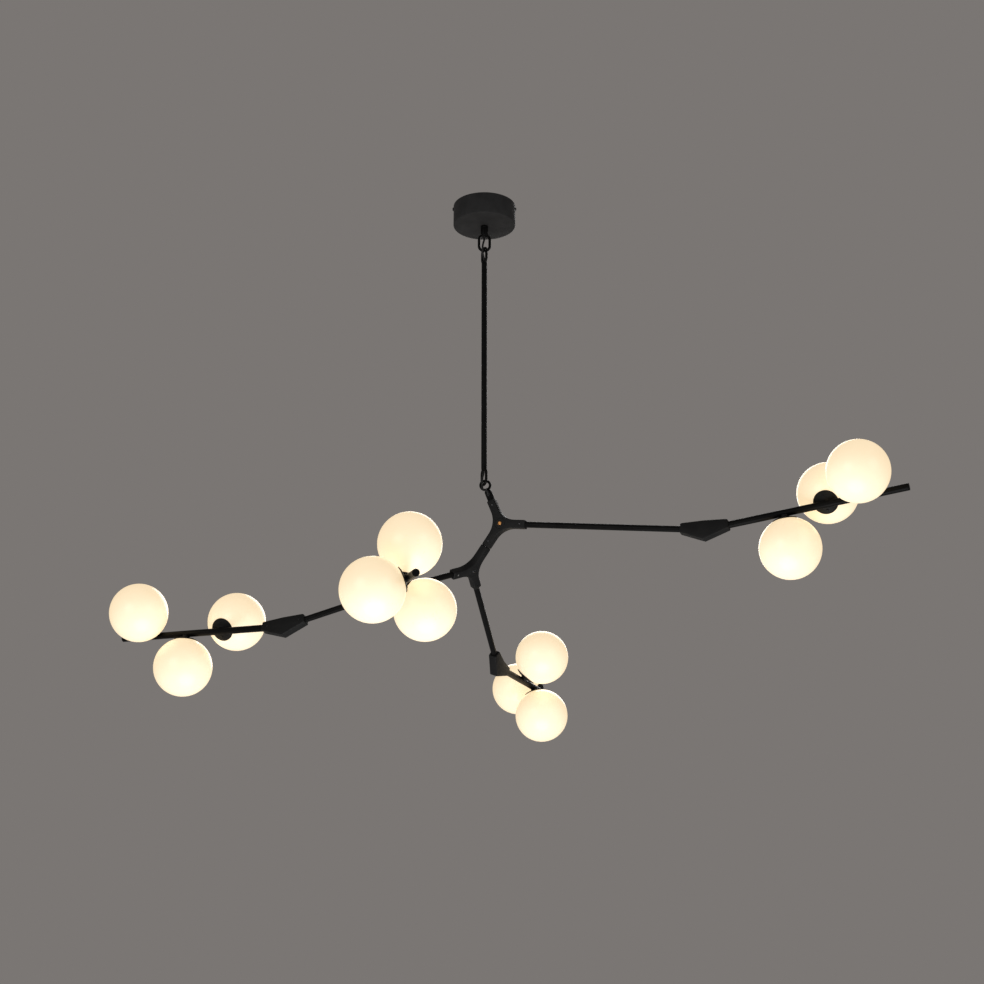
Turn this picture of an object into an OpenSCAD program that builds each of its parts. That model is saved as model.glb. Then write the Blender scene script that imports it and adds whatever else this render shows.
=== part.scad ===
// Branch chandelier: a canopy, a stem hung on open loops, and forked branches that carry
// four bars with three opal globes each. Millimetres, +Z up, origin on the ceiling at the
// centre of the canopy.

/* [Canopy] */
// Outside diameter of the canopy cover
canopy_d = 135; // [120:1:160]
// Height of the canopy cover
canopy_h = 48; // [42:1:70]
// Sheet thickness of the cover and of the bracket
sheet = 1.6; // [1.2:0.1:2.4]
// Distance between the two screws into the ceiling
ceiling_screw_pitch = 70; // [60:1:80]

/* [Suspension] */
// Diameter of the threaded rod through the canopy
rod_d = 10; // [9:0.5:12]
// Diameter of the hanger post under the canopy
post_d = 16; // [15:0.5:20]
// Visible length of the hanger post
post_len = 24; // [18:1:40]
// Wire thickness of the open loops
wire_d = 5.8; // [5:0.1:6.5]
// Width of the hanger loop
hanger_loop_w = 29; // [28:0.5:34]
// Height of the hanger loop
hanger_loop_h = 44; // [42:1:56]
// Width of the stem loops
stem_loop_w = 27; // [26:0.5:32]
// Height of the stem loops
stem_loop_h = 40; // [39:1:52]
// Turn of the stem loops away from the line of sight
stem_loop_turn = 25; // [15:1:35]
// Outside diameter of the stem tube
stem_d = 12; // [11:0.5:16]
// Length of the stem tube
stem_len = 465; // [300:1:900]
// Diameter of the supply cable
cable_d = 4.2; // [3.5:0.1:4.4]

/* [Forks] */
// Length of a fork arm from the fork's centre
arm_len = 56; // [50:1:80]
// Width of a fork arm at its end
arm_w = 17; // [16.5:0.5:22]
// Thickness of a fork
fork_t = 17; // [16.5:0.5:20]
// Radius between two arms
web_r = 45; // [30:1:55]
// Distance from the eye's centre to the fork's up arm
eye_len = 37; // [34:1:50]
// Diameter of the cover plate over the wiring chamber
cover_d = 23; // [20:0.5:25]
// Depth of the cover plate
cover_t = 2; // [1.5:0.1:2.5]

/* [Elbows] */
// Distance from the elbow's centre to its end faces
elbow_reach = 49; // [44:1:60]
// Thickness of the elbow
elbow_t = 18; // [17:0.5:22]
// Height of the elbow's end faces
elbow_end_h = 17.5; // [17:0.5:22]
// Height of the crown on the inner side of the bend
elbow_crown = 17; // [14:0.5:22]
// Depth of the keel on the outer side of the bend
elbow_keel = 22; // [18:0.5:28]

/* [Tubes and bars] */
// Outside diameter of the link tubes
link_d = 12.5; // [11:0.1:13]
// Outside diameter of the bars that carry the globes
bar_d = 14; // [13:0.1:14.5]
// Wall of the stem, links and bars
tube_wall = 1.2; // [1:0.1:1.6]
// Depth that a tube goes into a fork or an elbow
socket_depth = 29; // [22:1:32]
// Fork centre to elbow centre on the right branch
right_link = 437; // [300:1:500]
// Fork centre to elbow centre on the left branch
left_link = 229; // [220:1:400]
// Fork centre to elbow centre on the bottom branch
bottom_link = 338; // [250:1:420]
// Visible tube between the middle fork and the left fork
middle_link = 121; // [80:1:200]
// Elbow centre to the first holder
elbow_to_holder = 158; // [140:1:200]
// Left fork centre to the first holder of the front bar
fork_to_holder = 156; // [122:1:180]
// Distance between two holders along a bar
holder_pitch = 80; // [70:1:110]
// Distance from the last holder to the bar's tip
tip_len = 80; // [30:1:120]

/* [Lamps] */
// Outside diameter of a globe
globe_d = 120; // [100:1:126]
// Wall of a globe
globe_wall = 3; // [2:0.1:4]
// Distance from the bar's axis to the globe's centre
globe_reach = 70; // [68:0.5:80]
// Diameter of the dished cup behind a globe
cup_d = 48; // [40:1:56]
// Thickness of the cup
cup_t = 1.6; // [1.2:0.1:2.4]
// Diameter of the lamp holder's threaded sleeve
sleeve_d = 22; // [20:0.5:24]
// Length of the lamp holder
holder_len = 28; // [22:1:34]
// Diameter of the bulb
bulb_d = 16; // [12:0.5:20]
// Length of the bulb
bulb_len = 46; // [30:1:56]

/* [Set of the branches] */
// Yaw of the upper fork
fork_yaw = -24.5; // [-40:0.5:0]
// Lean of the upper fork
fork_lean = 3; // [-6:1:10]
// Roll of the upper fork in its own plane
fork_roll = -21.5; // [-26:0.5:-16]
// Turn of the middle fork about the coupling
middle_turn = -82.5; // [-90:0.5:-60]
// Turn of the left fork about the middle tube
left_turn = -46; // [-60:1:-30]
// Bend of the right and left elbows
elbow_bend = 14.5; // [10:0.5:20]
// Bend of the bottom elbow
bottom_bend = 26; // [20:1:30]
// Turn of the right elbow about its link
right_roll = 169; // [150:1:185]
// Turn of the left elbow about its link
left_roll = 121; // [110:1:140]
// Turn of the bottom elbow about its link
bottom_roll = 161; // [140:1:175]
// Place of the first globe round the right bar
right_phase = -167; // [-180:1:180]
// Place of the first globe round the left bar
left_phase = 49; // [-180:1:180]
// Place of the first globe round the bottom bar
bottom_phase = 22; // [-180:1:180]
// Place of the first globe round the front bar
front_phase = -58; // [-180:1:180]

/* [Fits] */
// Running clearance round a shaft
running = 0.05; // [0.03:0.01:0.1]
// Gap between faces that only come near each other
face_gap = 0.3; // [0.2:0.05:0.5]

/* [Hidden] */
$fn = 64;
big = 400;
globes_per_bar = 3;
globe_step = 360 / globes_per_bar;
fork_step = 120;

// Heights along the suspension, down from the ceiling
post_foot = -(canopy_h + post_len);
hanger_loop_top = post_foot + wire_d;
hook_z = hanger_loop_top - hanger_loop_h + wire_d / 2;
stem_loop_top = hook_z + wire_d + face_gap + wire_d / 2;
stem_top = stem_loop_top - stem_loop_h;
stem_foot = stem_top - stem_len;
foot_loop_low = stem_foot - stem_loop_h;

// The eye hangs a little to the right of the wire that carries it
eye_wire_d = 5.4;
eye_hole_d = wire_d + 8.6;
eye_side = 2.7;
// The wire crosses the eye at a slant, so the eye sits a little closer round it
eye_slant = 0.03 * stem_loop_turn;
eye_play = eye_hole_d / 2 - wire_d / 2 - face_gap - eye_slant;
eye_drop = sqrt(eye_play * eye_play - eye_side * eye_side);
eye_z = foot_loop_low + wire_d / 2 - eye_drop;
eye_ring_r = (eye_hole_d + eye_wire_d) / 2;

// Screws and small hardware
screw_d = 4;
screw_head_d = 8;
screw_head_t = 2.4;
screw_inset = 12;
nut_across = 17;
nut_t = 8;
washer_t = 1.6;
bridge_drop = 14;
bracket_w = 24;
ear_h = 12;
chamber_d = 19;
chamber_floor = 2.5;
pillar_d = 7;
wireway_d = 9;
cap_t = 2;
cap_plug = 8;
boss_d = 12;
nipple_d = 9.6;
nipple_wall = 1.5;
saddle_d = 15;
cup_gap = 0.4;
ring_w = 6;
ring_t = 4;
pin_d = 1.4;
pin_len = 6;
pin_pitch = 9;

link_bore_d = link_d + 2 * running;
bar_bore_d = bar_d + 2 * running;
socket_floor_fork = arm_len - socket_depth;
socket_floor_elbow = elbow_reach - socket_depth;
cable_side = wire_d / 2 + cable_d / 2 + 0.7;
cable_x = -cable_side * (1 - sin(stem_loop_turn)) / cos(stem_loop_turn);

// Frames: 4 x 4 placements built from moves and turns
function move(v) = [[1, 0, 0, v[0]], [0, 1, 0, v[1]], [0, 0, 1, v[2]], [0, 0, 0, 1]];
function about_x(a) = [[1, 0, 0, 0], [0, cos(a), -sin(a), 0], [0, sin(a), cos(a), 0], [0, 0, 0, 1]];
function about_y(a) = [[cos(a), 0, sin(a), 0], [0, 1, 0, 0], [-sin(a), 0, cos(a), 0], [0, 0, 0, 1]];
function about_z(a) = [[cos(a), -sin(a), 0, 0], [sin(a), cos(a), 0, 0], [0, 0, 1, 0], [0, 0, 0, 1]];
function along(d) = move([0, 0, d]);

// A fork's frame has +Z along the arm that carries it and its front face towards -Y
fork_to_fork = 2 * arm_len;
upper_fork_at = move([eye_side, 0, eye_z]) * about_z(fork_yaw) * about_x(fork_lean)
    * about_y(fork_roll) * along(-eye_len - arm_len);
coupling_at = upper_fork_at * about_y(-fork_step);
middle_fork_at = coupling_at * along(fork_to_fork) * about_z(middle_turn) * about_y(180);
middle_tube_at = middle_fork_at * about_y(-fork_step);
left_fork_at = middle_tube_at * along(fork_to_fork + middle_link) * about_z(left_turn) * about_y(180);

// A link's frame has +Z along the tube, from the fork's centre towards the elbow
right_link_at = upper_fork_at * about_y(fork_step);
bottom_link_at = middle_fork_at * about_y(fork_step);
left_link_at = left_fork_at * about_y(fork_step);
right_elbow_at = right_link_at * along(right_link) * about_z(right_roll);
bottom_elbow_at = bottom_link_at * along(bottom_link) * about_z(bottom_roll);
left_elbow_at = left_link_at * along(left_link) * about_z(left_roll);
right_bar_at = right_elbow_at * about_y(elbow_bend);
bottom_bar_at = bottom_elbow_at * about_y(bottom_bend);
left_bar_at = left_elbow_at * about_y(elbow_bend);
front_bar_at = left_fork_at * about_y(-fork_step);

// ---- Canopy ----

bridge_inset = 12;
bridge_half = ceiling_screw_pitch / 2 - bridge_inset;
ear_x = sqrt(pow(canopy_d / 2 - sheet, 2) - pow(bracket_w / 2, 2)) - face_gap;
ear_z = ear_h / 2 + sheet / 2;

// Spun cup that hides the bracket, with a hole for the threaded rod
module canopy_cover() {
    color("#1b1b1c") difference() {
        translate([0, 0, -canopy_h]) cylinder(d = canopy_d, h = canopy_h);
        translate([0, 0, -canopy_h + sheet]) cylinder(d = canopy_d - 2 * sheet, h = canopy_h);
        translate([0, 0, -canopy_h - 1]) cylinder(d = rod_d + 2 * face_gap, h = sheet + 2);
        for (side = [0, 180])
            rotate([0, 0, side]) translate([ear_x - 2, 0, -ear_z])
                rotate([0, 90, 0]) cylinder(d = screw_d + 2 * running, h = sheet + 6);
    }
}

// Bent strap: feet on the ceiling, a dropped bridge for the rod, and ears for the cover
module ceiling_bracket() {
    foot_x = bridge_half + sheet;
    color("silver") difference() {
        union() {
            for (side = [0, 180]) rotate([0, 0, side]) {
                translate([bridge_half, -bracket_w / 2, -sheet])
                    cube([ear_x - bridge_half, bracket_w, sheet]);
                translate([bridge_half, -bracket_w / 2, -bridge_drop]) cube([sheet, bracket_w, bridge_drop]);
                translate([ear_x - sheet, -bracket_w / 2, -ear_h]) cube([sheet, bracket_w, ear_h]);
            }
            translate([-foot_x, -bracket_w / 2, -bridge_drop]) cube([2 * foot_x, bracket_w, sheet]);
        }
        translate([0, 0, -bridge_drop - 1]) cylinder(d = rod_d + 2 * running, h = sheet + 2);
        for (side = [0, 180]) rotate([0, 0, side]) {
            translate([ceiling_screw_pitch / 2, 0, -sheet - 1]) cylinder(d = screw_d + 1, h = sheet + 2);
            translate([ear_x - sheet - 1, 0, -ear_z])
                rotate([0, 90, 0]) cylinder(d = screw_d + 2 * running, h = sheet + 2);
        }
    }
}

// Pan-head screw: the shank points along +Z and the head sits under the origin
module pan_screw(shank) {
    cylinder(d = screw_d, h = shank);
    translate([0, 0, -screw_head_t]) cylinder(d = screw_head_d, h = screw_head_t);
}

module canopy_screws() {
    color("#1b1b1c") for (side = [0, 180])
        rotate([0, 0, side]) translate([canopy_d / 2, 0, -ear_z])
            rotate([0, -90, 0]) pan_screw(sheet + face_gap + sheet + 3);
}

// Three-way terminal block under the bridge
module terminal_block() {
    block = [20, 15, 11];
    color("ivory") translate([rod_d / 2 + 4, -block[1] / 2, -bridge_drop - block[2]]) difference() {
        cube(block);
        for (way = [0:2]) translate([-1, block[1] * (way + 0.5) / 3, block[2] / 2])
            rotate([0, 90, 0]) cylinder(d = 3, h = block[0] + 2);
    }
}

// ---- Suspension ----

// Closed wire loop in the XZ plane, its outer top at the origin and hanging down
module wire_loop(w, h) {
    bow_r = (w - wire_d) / 2;
    run = h - w;
    translate([0, 0, -w / 2]) rotate([90, 0, 0]) rotate_extrude(angle = 180)
        translate([bow_r, 0]) circle(d = wire_d);
    translate([0, 0, -w / 2 - run]) rotate([90, 0, 180]) rotate([0, 0, 180]) rotate_extrude(angle = 180)
        translate([bow_r, 0]) circle(d = wire_d);
    for (side = [-1, 1]) translate([side * bow_r, 0, -w / 2 - run]) cylinder(d = wire_d, h = run);
}

// Turned post with its loop: the rod runs up through the cover and the bracket
module hanger_post() {
    rod_top = -bridge_drop + sheet + washer_t + nut_t + 2;
    shoulder = -canopy_h - face_gap;
    color("#161616") difference() {
        union() {
            translate([0, 0, shoulder]) cylinder(d = rod_d, h = rod_top - shoulder);
            translate([0, 0, post_foot]) cylinder(d = post_d, h = shoulder - post_foot);
            translate([0, 0, hanger_loop_top]) wire_loop(hanger_loop_w, hanger_loop_h);
        }
        translate([0, 0, post_foot - 1]) cylinder(d = cable_d + 1.2, h = canopy_h + post_len + 2);
    }
}

// Hexagon nut and washer on the rod, above the bridge
module hanger_nut() {
    seat = -bridge_drop + sheet;
    color("silver") difference() {
        union() {
            translate([0, 0, seat]) cylinder(d = nut_across + 5, h = washer_t);
            translate([0, 0, seat + washer_t]) cylinder(d = nut_across / cos(30), h = nut_t, $fn = 6);
        }
        translate([0, 0, seat - 1]) cylinder(d = rod_d + 2 * running, h = washer_t + nut_t + 2);
    }
}

module stem_tube() {
    color("#161616") translate([0, 0, stem_foot]) difference() {
        cylinder(d = stem_d, h = stem_len);
        translate([0, 0, -1]) cylinder(d = stem_d - 2 * tube_wall, h = stem_len + 2);
    }
}

// Loop with a boss and a plug that closes one end of the stem, its foot at the origin
module stem_loop() {
    plug = 16;
    difference() {
        union() {
            rotate([0, 0, 90 + stem_loop_turn]) translate([0, 0, stem_loop_h])
                wire_loop(stem_loop_w, stem_loop_h);
            cylinder(d = boss_d, h = wire_d + 1);
            translate([0, 0, -plug]) cylinder(d = stem_d - 2 * tube_wall - 2 * running, h = plug);
        }
        translate([0, 0, -plug - 1]) cylinder(d = cable_d + 0.6, h = plug + wire_d + 3);
    }
}

module stem_top_loop() {
    color("#161616") translate([0, 0, stem_top]) stem_loop();
}

module stem_foot_loop() {
    color("#161616") translate([0, 0, stem_foot]) mirror([0, 0, 1]) stem_loop();
}

// Supply cable: out of the post, past the hooked loops, down the stem and past the eye
module supply_cable() {
    front_left = [cable_x, -cable_side];
    route = [
        [0, 0, post_foot - 0.6],
        [0, 0, post_foot - 8],
        [front_left[0], front_left[1], hook_z + wire_d + 5],
        [front_left[0], front_left[1], hook_z - wire_d],
        [0, 0, stem_top + wire_d + 7],
        [0, 0, stem_foot - wire_d - 7],
        [front_left[0], front_left[1], eye_z + wire_d + 6],
        [front_left[0], front_left[1], eye_z - 2],
        [-2, -12.5, eye_z - 17],
    ];
    color("#101010") for (i = [0:len(route) - 2]) {
        span = route[i + 1] - route[i];
        length = norm(span);
        tilt = acos(span[2] / length);
        heading = atan2(span[1], span[0]);
        translate(route[i]) rotate([0, tilt, heading]) cylinder(d = cable_d, h = length);
        if (i > 0) translate(route[i]) sphere(d = cable_d);
    }
}

// ---- Forks ----

// Outline of a fork: three arms and the round webs between them
module fork_outline() {
    centre_far = (arm_w / 2 + web_r) / sin(fork_step / 2);
    touch = centre_far * cos(fork_step / 2);
    for (turn = [0:fork_step:359]) rotate([0, 0, turn]) {
        translate([-arm_w / 2, 0]) square([arm_w, arm_len]);
        difference() {
            polygon([
                [0, 0],
                [-arm_w / 2, touch],
                [-centre_far * sin(fork_step / 2), centre_far * cos(fork_step / 2)],
                [
                    -(touch * sin(fork_step) - arm_w / 2 * cos(fork_step)),
                    touch * cos(fork_step) + arm_w / 2 * sin(fork_step)
                ],
            ]);
            translate([-centre_far * sin(fork_step / 2), centre_far * cos(fork_step / 2)]) circle(r = web_r);
        }
    }
}

// Cast fork with a tube socket in each arm and a wiring chamber under the cover plate
module fork(sockets) {
    color("#1a1a1b") difference() {
        union() {
            difference() {
                rotate([90, 0, 0]) translate([0, 0, -fork_t / 2]) linear_extrude(fork_t) fork_outline();
                for (i = [0:2]) rotate([0, fork_step * i, 0]) {
                    translate([0, 0, socket_floor_fork]) cylinder(d = sockets[i], h = big);
                    cylinder(d = wireway_d, h = arm_len);
                }
                rotate([90, 0, 0]) translate([0, 0, chamber_floor - fork_t / 2]) cylinder(d = chamber_d, h = fork_t);
                rotate([90, 0, 0]) translate([0, 0, fork_t / 2 - cover_t]) cylinder(d = cover_d, h = cover_t + 1);
            }
            rotate([90, 0, 0]) translate([0, 0, chamber_floor / 2 - fork_t / 2])
                cylinder(d = pillar_d, h = fork_t - cover_t - chamber_floor / 2 - 0.1);
        }
        rotate([90, 0, 0]) translate([0, 0, 0]) cylinder(d = screw_d + 2 * running, h = fork_t);
        for (i = [0:2]) rotate([0, fork_step * i, 0]) translate([0, 0, arm_len - screw_inset])
            rotate([90, 0, 0]) cylinder(d = screw_d + 2 * running, h = fork_t);
    }
}

// Round plate, flush with the front face
module fork_cover() {
    color("#1a1a1b") rotate([90, 0, 0]) translate([0, 0, fork_t / 2 - cover_t]) difference() {
        cylinder(d = cover_d - 2 * running, h = cover_t);
        translate([0, 0, -1]) cylinder(d = screw_d + 2 * running, h = cover_t + 2);
    }
}

// One screw through the cover and a grub screw over each socket
module fork_screws(sockets) {
    color("#b08d57") rotate([90, 0, 0]) {
        translate([0, 0, 1]) cylinder(d = screw_d, h = fork_t / 2 - 1);
        translate([0, 0, fork_t / 2]) cylinder(d = screw_head_d, h = 1.2);
    }
    color("#555555") for (i = [0:2]) rotate([0, fork_step * i, 0])
        translate([0, 0, arm_len - screw_inset]) rotate([90, 0, 0])
            translate([0, 0, sockets[i] / 2 + face_gap]) cylinder(d = screw_d, h = fork_t / 2 - sockets[i] / 2);
}

eye_shank_d = 10;
upper_sockets = [eye_shank_d + 2 * running, link_bore_d, link_bore_d];
middle_sockets = [link_bore_d, link_bore_d, link_bore_d];
left_sockets = [link_bore_d, link_bore_d, bar_bore_d];

module upper_fork() multmatrix(upper_fork_at) fork(upper_sockets);
module upper_fork_cover() multmatrix(upper_fork_at) fork_cover();
module upper_fork_screws() multmatrix(upper_fork_at) fork_screws(upper_sockets);
module middle_fork() multmatrix(middle_fork_at) fork(middle_sockets);
module middle_fork_cover() multmatrix(middle_fork_at) fork_cover();
module middle_fork_screws() multmatrix(middle_fork_at) fork_screws(middle_sockets);
module left_fork() multmatrix(left_fork_at) fork(left_sockets);
module left_fork_cover() multmatrix(left_fork_at) fork_cover();
module left_fork_screws() multmatrix(left_fork_at) fork_screws(left_sockets);

// Ring that hangs on the stem's foot loop, with a collar and a shank in the upper fork
module fork_eye() {
    collar_d = 15;
    collar_top = -eye_ring_r + 1;
    lean_back = about_y(-fork_roll) * about_x(-fork_lean) * about_z(-fork_yaw);
    color("#161616") multmatrix(upper_fork_at * along(arm_len + eye_len)) union() {
        multmatrix(lean_back) rotate([90, 0, 0]) rotate_extrude()
            translate([eye_ring_r, 0]) circle(d = eye_wire_d);
        translate([0, 0, -eye_len]) cylinder(d = collar_d, h = eye_len + collar_top - eye_wire_d / 2);
        translate([0, 0, -eye_len]) cylinder(d = collar_d - 5, h = eye_len + collar_top);
        translate([0, 0, -eye_len - socket_depth + face_gap]) cylinder(d = eye_shank_d, h = socket_depth);
    }
}

// Short tube inside the two arms that meet end to end
module fork_coupling() {
    half = arm_len - socket_floor_fork - face_gap;
    color("silver") multmatrix(coupling_at) translate([0, 0, arm_len - half]) difference() {
        cylinder(d = link_d, h = 2 * half);
        translate([0, 0, -1]) cylinder(d = link_d - 2 * tube_wall, h = 2 * half + 2);
    }
}

// ---- Link tubes and elbows ----

module round_tube(d, from, to) {
    difference() {
        translate([0, 0, from]) cylinder(d = d, h = to - from);
        translate([0, 0, from - 1]) cylinder(d = d - 2 * tube_wall, h = to - from + 2);
    }
}

module link_tube(length) {
    color("#161616") round_tube(link_d, socket_floor_fork + face_gap, length - socket_floor_elbow - face_gap);
}

module middle_tube() {
    color("#161616") multmatrix(middle_tube_at)
        round_tube(link_d, socket_floor_fork + face_gap,
            fork_to_fork + middle_link - socket_floor_fork - face_gap);
}

module right_link_tube() multmatrix(right_link_at) link_tube(right_link);
module left_link_tube() multmatrix(left_link_at) link_tube(left_link);
module bottom_link_tube() multmatrix(bottom_link_at) link_tube(bottom_link);

// Cast elbow: flat-sided block with a crown inside the bend and a keel outside it
module elbow(bend) {
    half = elbow_end_h / 2;
    shoulder = elbow_reach - 5;
    function near(a, p) = [p, -a];
    function far(a, p) = [a * sin(bend) + p * cos(bend), a * cos(bend) - p * sin(bend)];
    function middle(p) = [p * cos(bend / 2), -p * sin(bend / 2)];
    color("#1a1a1b") difference() {
        rotate([90, 0, 0]) translate([0, 0, -elbow_t / 2]) linear_extrude(elbow_t) polygon([
            near(elbow_reach, -half), middle(-elbow_keel), far(elbow_reach, -half),
            far(elbow_reach, half), far(shoulder, half + 1.5), middle(elbow_crown),
            near(shoulder, half + 1.5), near(elbow_reach, half),
        ]);
        rotate([180, 0, 0]) {
            translate([0, 0, socket_floor_elbow]) cylinder(d = link_bore_d, h = big);
            cylinder(d = wireway_d, h = elbow_reach);
        }
        rotate([0, bend, 0]) {
            translate([0, 0, socket_floor_elbow]) cylinder(d = bar_bore_d, h = big);
            cylinder(d = wireway_d, h = elbow_reach);
        }
        sphere(d = wireway_d);
        elbow_screw_places(bend) translate([0, 0, -big]) cylinder(d = screw_d + 2 * running, h = big);
    }
}

// Grub screws press on the link from one side face and on the bar from the same face
module elbow_screw_places(bend) {
    rotate([180, 0, 0]) translate([0, elbow_t / 2, elbow_reach - screw_inset]) rotate([-90, 0, 0]) children();
    rotate([0, bend, 0]) translate([0, -elbow_t / 2, elbow_reach - screw_inset]) rotate([90, 0, 0]) children();
}

module elbow_screws(bend) {
    link_gap = link_bore_d / 2 + face_gap;
    bar_gap = bar_bore_d / 2 + face_gap;
    color("#555555") {
        rotate([180, 0, 0]) translate([0, link_gap, elbow_reach - screw_inset])
            rotate([-90, 0, 0]) cylinder(d = screw_d, h = elbow_t / 2 - link_gap);
        rotate([0, bend, 0]) translate([0, -bar_gap, elbow_reach - screw_inset])
            rotate([90, 0, 0]) cylinder(d = screw_d, h = elbow_t / 2 - bar_gap);
    }
}

module right_elbow() multmatrix(right_elbow_at) elbow(elbow_bend);
module right_elbow_screws() multmatrix(right_elbow_at) elbow_screws(elbow_bend);
module left_elbow() multmatrix(left_elbow_at) elbow(elbow_bend);
module left_elbow_screws() multmatrix(left_elbow_at) elbow_screws(elbow_bend);
module bottom_elbow() multmatrix(bottom_elbow_at) elbow(bottom_bend);
module bottom_elbow_screws() multmatrix(bottom_elbow_at) elbow_screws(bottom_bend);

// ---- Bars and lamps ----

// Places a lamp's piece at each holder: +Z points from the bar's axis to the globe
module at_holders(first, phase) {
    for (i = [0:globes_per_bar - 1])
        translate([0, 0, first + i * holder_pitch]) rotate([0, 0, phase + globe_step * i])
            rotate([0, 90, 0]) children();
}

function bar_end(first) = first + (globes_per_bar - 1) * holder_pitch + tip_len;

// Tube with a side hole for each holder's nipple
module bar(start, first, phase) {
    color("#161616") difference() {
        round_tube(bar_d, start + face_gap, bar_end(first) - cap_t);
        at_holders(first, phase) cylinder(d = nipple_d + 2 * running, h = bar_d);
    }
}

module bar_cap(first) {
    color("#161616") translate([0, 0, bar_end(first) - cap_t]) {
        cylinder(d = bar_d, h = cap_t);
        translate([0, 0, -cap_plug]) cylinder(d = bar_d - 2 * tube_wall - 2 * running, h = cap_plug);
    }
}

holder_seat = globe_reach - sqrt(pow(globe_d / 2 + cup_gap, 2) - pow(sleeve_d / 2, 2)) + 0.05;
glass_hole_d = sleeve_d + 1.6;

// Dished cup that follows the globe, with a saddle on the bar and a hollow nipple into it
module cup() {
    color("#161616") difference() {
        union() {
            intersection() {
                translate([0, 0, globe_reach]) difference() {
                    sphere(r = globe_d / 2 + cup_gap + cup_t);
                    sphere(r = globe_d / 2 + cup_gap);
                }
                cylinder(d = cup_d, h = globe_reach);
            }
            difference() {
                cylinder(d = saddle_d, h = holder_seat - 0.4);
                rotate([0, 90, 0]) cylinder(d = bar_d + 2 * running, h = big, center = true);
            }
            translate([0, 0, bar_d / 2 - tube_wall - 2]) cylinder(d = nipple_d, h = holder_seat - bar_d / 2 + tube_wall + 2);
        }
        cylinder(d = nipple_d - 2 * nipple_wall, h = globe_reach);
    }
}

// Ceramic lamp holder with a threaded sleeve that passes through the glass
module lamp_holder() {
    color("white") translate([0, 0, holder_seat + 0.05]) difference() {
        cylinder(d = sleeve_d, h = holder_len);
        for (side = [-1, 1]) translate([side * pin_pitch / 2, 0, holder_len - pin_len - 1])
            cylinder(d = pin_d + 0.4, h = pin_len + 2);
        translate([0, 0, -1]) cylinder(d = nipple_d - 2 * nipple_wall, h = nipple_d);
    }
}

// Ring nut inside the globe that holds the glass against the cup
module glass_ring() {
    ring_d = sleeve_d + 2 * ring_w;
    inner_r = globe_d / 2 - globe_wall;
    seat = globe_reach - sqrt(inner_r * inner_r - ring_d * ring_d / 4) + 0.1;
    color("ivory") translate([0, 0, seat]) difference() {
        cylinder(d = ring_d, h = ring_t);
        translate([0, 0, -1]) cylinder(d = sleeve_d + 2 * running, h = ring_t + 2);
    }
}

// Pin-base bulb, plugged into the lamp holder
module bulb() {
    base = holder_seat + 0.05 + holder_len + 0.1;
    color("#fff4dc") translate([0, 0, base]) {
        cylinder(d = bulb_d, h = bulb_len - bulb_d / 2);
        translate([0, 0, bulb_len - bulb_d / 2]) sphere(d = bulb_d);
        for (side = [-1, 1]) translate([side * pin_pitch / 2, 0, -pin_len]) cylinder(d = pin_d, h = pin_len + 1);
    }
}

// Blown opal globe with one round hole
module globe() {
    color("#fff8ec") difference() {
        translate([0, 0, globe_reach]) sphere(d = globe_d);
        translate([0, 0, globe_reach]) sphere(d = globe_d - 2 * globe_wall);
        cylinder(d = glass_hole_d, h = globe_reach / 2);
    }
}

module on_right_bar() multmatrix(right_bar_at) at_holders(elbow_to_holder, right_phase) children();
module on_left_bar() multmatrix(left_bar_at) at_holders(elbow_to_holder, left_phase) children();
module on_bottom_bar() multmatrix(bottom_bar_at) at_holders(elbow_to_holder, bottom_phase) children();
module on_front_bar() multmatrix(front_bar_at) at_holders(fork_to_holder, front_phase) children();

module right_bar() multmatrix(right_bar_at) bar(socket_floor_elbow, elbow_to_holder, right_phase);
module right_bar_cap() multmatrix(right_bar_at) bar_cap(elbow_to_holder);
module right_cups() on_right_bar() cup();
module right_lamp_holders() on_right_bar() lamp_holder();
module right_rings() on_right_bar() glass_ring();
module right_bulbs() on_right_bar() bulb();
module right_globes() on_right_bar() globe();

module left_bar() multmatrix(left_bar_at) bar(socket_floor_elbow, elbow_to_holder, left_phase);
module left_bar_cap() multmatrix(left_bar_at) bar_cap(elbow_to_holder);
module left_cups() on_left_bar() cup();
module left_lamp_holders() on_left_bar() lamp_holder();
module left_rings() on_left_bar() glass_ring();
module left_bulbs() on_left_bar() bulb();
module left_globes() on_left_bar() globe();

module bottom_bar() multmatrix(bottom_bar_at) bar(socket_floor_elbow, elbow_to_holder, bottom_phase);
module bottom_bar_cap() multmatrix(bottom_bar_at) bar_cap(elbow_to_holder);
module bottom_cups() on_bottom_bar() cup();
module bottom_lamp_holders() on_bottom_bar() lamp_holder();
module bottom_rings() on_bottom_bar() glass_ring();
module bottom_bulbs() on_bottom_bar() bulb();
module bottom_globes() on_bottom_bar() globe();

module front_bar() multmatrix(front_bar_at) bar(socket_floor_fork, fork_to_holder, front_phase);
module front_bar_cap() multmatrix(front_bar_at) bar_cap(fork_to_holder);
module front_cups() on_front_bar() cup();
module front_lamp_holders() on_front_bar() lamp_holder();
module front_rings() on_front_bar() glass_ring();
module front_bulbs() on_front_bar() bulb();
module front_globes() on_front_bar() globe();

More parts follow.
